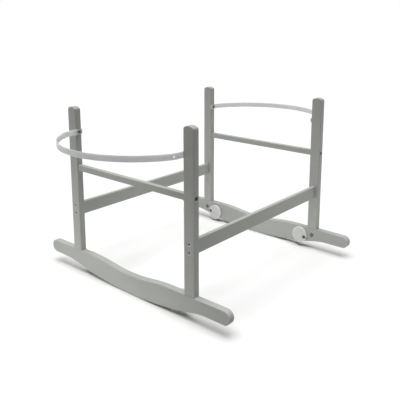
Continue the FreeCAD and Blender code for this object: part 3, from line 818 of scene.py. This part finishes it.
SOCKET_HEAD = TurnedHead(
    profile=((2.5, -3.2), (4.35, -1.3), (4.2, -1.12), (3.6, -1.05), (3.0, -1.15)),
    drive=Drive.HEXAGON, recess=2.4, recess_depth=1.95)
PAN_HEAD = TurnedHead(
    profile=((0.5, 0.0), (3.7, 0.0), (4.0, 0.35), (4.0, 1.0), (3.6, 1.8), (2.8, 2.35), (1.6, 2.6)),
    drive=Drive.CROSS, recess=2.2, recess_depth=1.5)
CAP_HEAD = TurnedHead(
    profile=((0.5, 0.0), (4.2, 0.0), (4.5, 0.4), (4.5, 3.4), (4.1, 4.1), (3.3, 4.5), (2.0, 4.5)),
    drive=Drive.HEXAGON, recess=2.0, recess_depth=2.5)
BOLT_HEAD = TurnedHead(
    profile=((0.5, 0.0), (3.95, 0.0), (4.25, 0.35), (4.25, 1.4), (3.8, 2.3), (2.9, 2.85),
             (1.7, 3.0)),
    drive=Drive.CROSS, recess=2.5, recess_depth=1.7)


@dataclass(frozen=True)
class Hardware:
    """The screws, bolts and joint fittings."""

    groups: tuple[HeadGroup, ...] = (
        HeadGroup("side_rail_screws", "rail_socket_bolts", SOCKET_HEAD, radius=2.5, length=50.0,
                  finish=BRIGHT_ZINC, axis=Axis.X, outward=True),
        HeadGroup("strip_screws", "strip_pan_screws", PAN_HEAD, radius=2.0, length=18.0,
                  finish=DARK_OXIDE, axis=Axis.Y, outward=False),
        HeadGroup("cross_rail_screws", "cross_rail_cap_screws", CAP_HEAD, radius=2.5, length=56.0,
                  finish=DARK_OXIDE, axis=Axis.Y, outward=True),
        HeadGroup("stopper_bolts", "stopper_pan_bolts", BOLT_HEAD, radius=2.5, length=14.0,
                  finish=DARK_OXIDE, axis=Axis.X, outward=False),
    )
    fittings: tuple[tuple[str, Finish], ...] = (
        ("stopper_washers", BRIGHT_ZINC),
        ("stopper_inserts", BRIGHT_ZINC),
        ("cam_locks", CAST_ZINC),
        ("cam_pins", BRIGHT_ZINC),
        ("joint_dowels", BEECH),
    )

    def build(self) -> None:
        """Builds the headed fasteners and dresses the rest."""
        for group in self.groups:
            group.build()
        for node, finish in self.fittings:
            dress_node(node, finish)


# --- Studio ---------------------------------------------------------------------------


@dataclass(frozen=True)
class Sun:
    """A very soft light from one side of the sky: its direction, strength and width in degrees."""

    name: str
    source: tuple[float, float, float]
    strength: float
    width: float

    def build(self) -> None:
        """Hangs the light."""
        light = bpy.data.lights.new(self.name, "SUN")
        light.energy = self.strength
        light.angle = math.radians(self.width)
        hang(self.name, light, Vector(self.source).to_track_quat("Z", "Y"))


@dataclass(frozen=True)
class Softbox:
    """A square area light: its place, what it looks at, its side, watts and beam in degrees."""

    name: str
    place: tuple[float, float, float]
    target: tuple[float, float, float]
    side: float
    watts: float
    beam: float

    def build(self) -> None:
        """Hangs the light, out of the camera's sight."""
        light = bpy.data.lights.new(self.name, "AREA")
        light.shape = "SQUARE"
        light.size = self.side
        light.energy = self.watts
        light.spread = math.radians(self.beam)
        place = Vector(self.place)
        lamp = hang(self.name, light, (Vector(self.target) - place).to_track_quat("-Z", "Y"))
        lamp.location = place
        lamp.visible_camera = False


def hang(name: str, light: bpy.types.Light, turn: Quaternion) -> bpy.types.Object:
    """Puts a light in the scene.

    Args:
        name: the lamp's name.
        light: its light.
        turn: the way it is turned.

    Returns:
        The lamp.
    """
    lamp = bpy.data.objects.new(name, light)
    lamp.rotation_mode = "QUATERNION"
    lamp.rotation_quaternion = turn
    bpy.context.scene.collection.objects.link(lamp)
    return lamp


@dataclass(frozen=True)
class Studio:
    """A pale floor, soft lights and the camera.

    Places are in metres, heading, dip and roll in degrees, and sensor and lens in
    millimetres. rise is the lens's shift upwards, as a share of the picture's width.
    """

    floor_reach: float = 40.0
    floor_gap: float = 0.0002
    sky: float = 0.05
    sky_tint: Colour = (0.97, 0.99, 1.0)
    backdrop: float = 1.0
    lights: tuple[Union[Sun, Softbox], ...] = (
        Sun("overhead", source=(-0.09, 0.04, 1.0), strength=3.45, width=60.0),
        Softbox("low_left", place=(-1.4, 0.35, 0.05), target=(0.0, 0.0, -0.08), side=0.4,
                watts=0.20, beam=34.0),
    )
    eye: tuple[float, float, float] = (-1.1256, -0.9618, 0.6631)
    heading: float = 40.735
    dip: float = 11.331
    roll: float = -0.041
    sensor: float = 36.0
    lens: float = 50.62
    rise: float = -0.175
    nearest: float = 0.05
    furthest: float = 60.0

    def build(self) -> None:
        """Builds everything round the stand."""
        self._floor()
        self._sky()
        for light in self.lights:
            light.build()
        self._camera()

    def _floor(self) -> None:
        """A wide flat floor just under the rockers."""
        mesh = bmesh.new()
        bmesh.ops.create_grid(mesh, x_segments=4, y_segments=4, size=self.floor_reach)
        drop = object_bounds()[0].z - self.floor_gap
        bmesh.ops.translate(mesh, vec=(0, 0, drop), verts=mesh.verts)
        data = bpy.data.meshes.new("studio_floor")
        mesh.to_mesh(data)
        mesh.free()
        data.materials.append(StudioFloor("pale_floor", slot="").material())
        floor = bpy.data.objects.new("studio_floor", data)
        bpy.context.scene.collection.objects.link(floor)
        floor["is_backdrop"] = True

    def _sky(self) -> None:
        """An even pale surround: bright to look at, softer as a light."""
        world = bpy.data.worlds.new("surround")
        bpy.context.scene.world = world
        world.use_nodes = True
        tree = world.node_tree
        tree.nodes.clear()
        seen, cast = (tree.nodes.new("ShaderNodeBackground") for _ in range(2))
        seen.inputs["Color"].default_value = (1.0, 1.0, 1.0, 1.0)
        seen.inputs["Strength"].default_value = self.backdrop
        cast.inputs["Color"].default_value = self.sky_tint + (1.0,)
        cast.inputs["Strength"].default_value = self.sky
        path = tree.nodes.new("ShaderNodeLightPath")
        mix = tree.nodes.new("ShaderNodeMixShader")
        output = tree.nodes.new("ShaderNodeOutputWorld")
        tree.links.new(path.outputs["Is Camera Ray"], mix.inputs[0])
        tree.links.new(cast.outputs[0], mix.inputs[1])
        tree.links.new(seen.outputs[0], mix.inputs[2])
        tree.links.new(mix.outputs[0], output.inputs["Surface"])

    def _camera(self) -> None:
        """The camera: a little above the posts, looking across the near corner."""
        camera = bpy.data.cameras.new("camera")
        camera.sensor_width = self.sensor
        camera.lens = self.lens
        camera.shift_y = self.rise
        camera.clip_start = self.nearest
        camera.clip_end = self.furthest
        eye = bpy.data.objects.new("camera", camera)
        heading, dip, roll = (math.radians(a) for a in (self.heading, self.dip, self.roll))
        turn = Matrix.Rotation(heading - math.pi / 2, 4, "Z")
        tilt = Matrix.Rotation(math.pi / 2 - dip, 4, "X")
        lean = Matrix.Rotation(roll, 4, "Z")
        eye.matrix_world = Matrix.Translation(self.eye) @ turn @ tilt @ lean
        bpy.context.scene.collection.objects.link(eye)
        bpy.context.scene.camera = eye


def main() -> None:
    """Builds the stand, then the studio."""
    logging.basicConfig(level=logging.INFO, format="%(name)s: %(message)s")
    bpy.context.scene.view_settings.view_transform = "Standard"
    Woodwork().build()
    for end in ("left", "right"):
        RetainingStrip(end).build()
        for side in ("front", "rear"):
            Stopper(end, side).build()
    Hardware().build()
    Studio().build()


if __name__ == "__main__":
    main()
